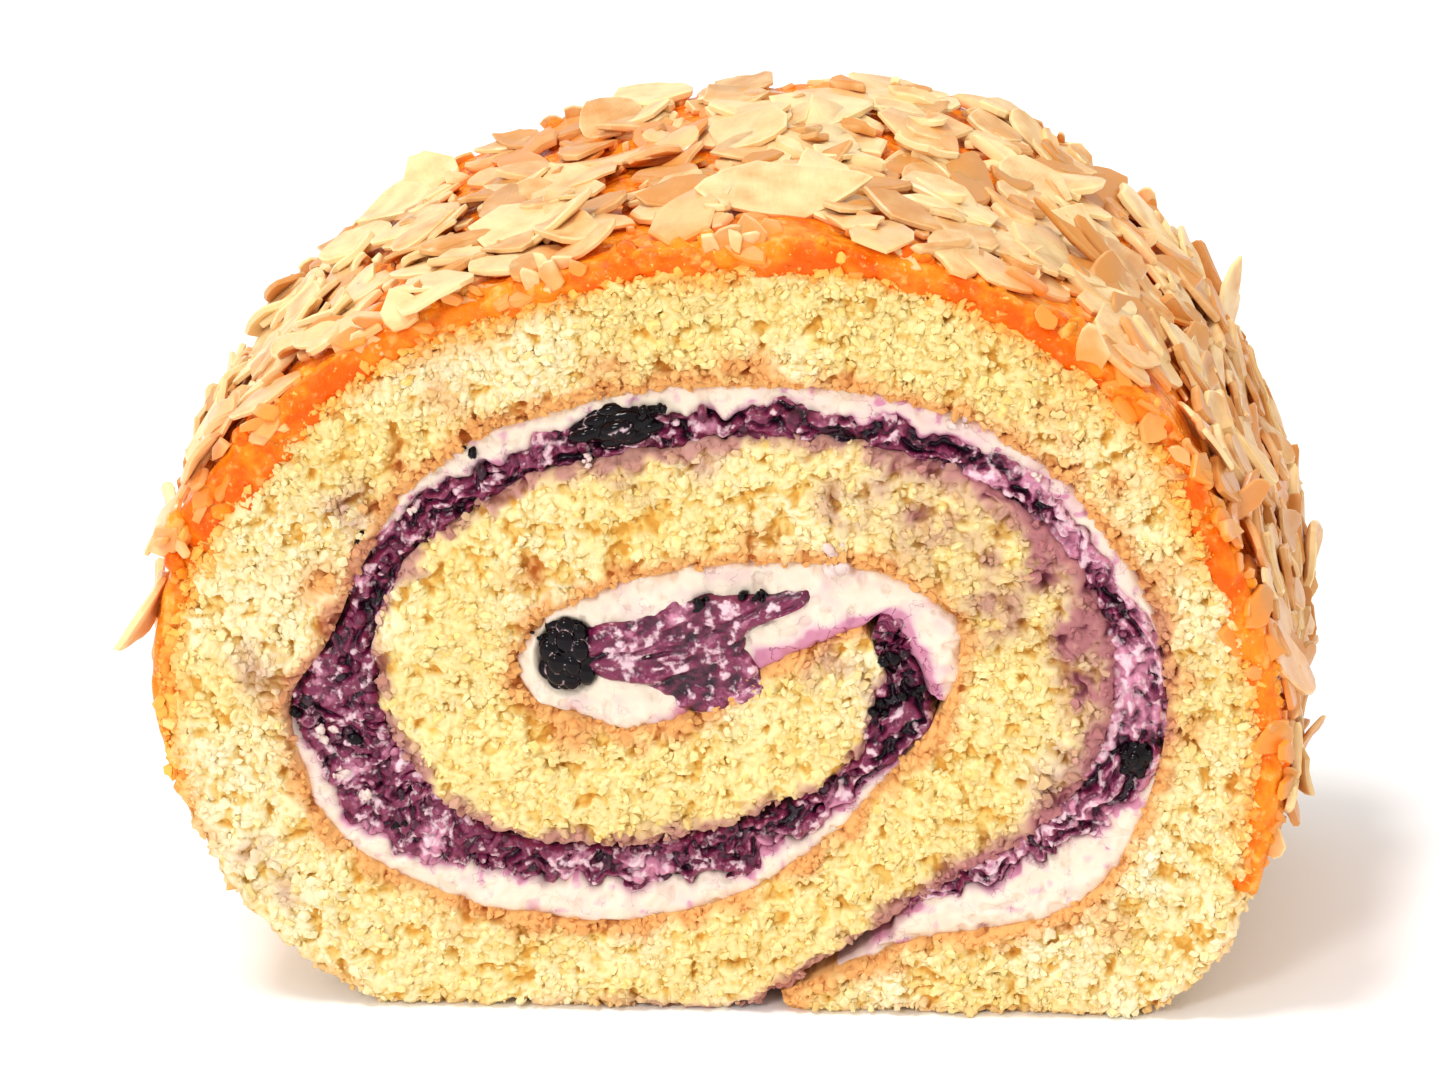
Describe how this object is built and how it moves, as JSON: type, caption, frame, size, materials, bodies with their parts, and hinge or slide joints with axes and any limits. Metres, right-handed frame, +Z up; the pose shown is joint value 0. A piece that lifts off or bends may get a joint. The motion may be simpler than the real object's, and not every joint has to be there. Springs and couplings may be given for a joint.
{
  "type": "swiss roll slice",
  "caption": "Thick slice of swiss roll: spiral sponge with whipped cream and berry jam, coated on its rounded outside with glaze and flaked almonds, flat underside.",
  "frame": {"origin": "middle of the bounding box at the height of the flat underside", "axes": "+Z up; the roll's axis runs along Y, with the cut face of the picture towards -Y; +X is to the right when looking at that face"},
  "size_m": [0.1104, 0.053, 0.0786],
  "materials": {
    "sponge": "matte, open crumb",
    "coat": "glossy orange glaze with pale toasted flakes",
    "cream": "soft satin",
    "jam": "wet gloss",
    "berry": "wet gloss"
  },
  "bodies": {
    "root": {"sponge": "sponge", "coat": "coat", "cream_tail": "cream", "cream_top": "cream", "cream_bottom": "cream", "cream_core": "cream", "jam": "jam", "jam_core": "jam", "berry_core": "berry", "berry_top": "berry", "berry_side": "berry"}
  },
  "joints": []
}
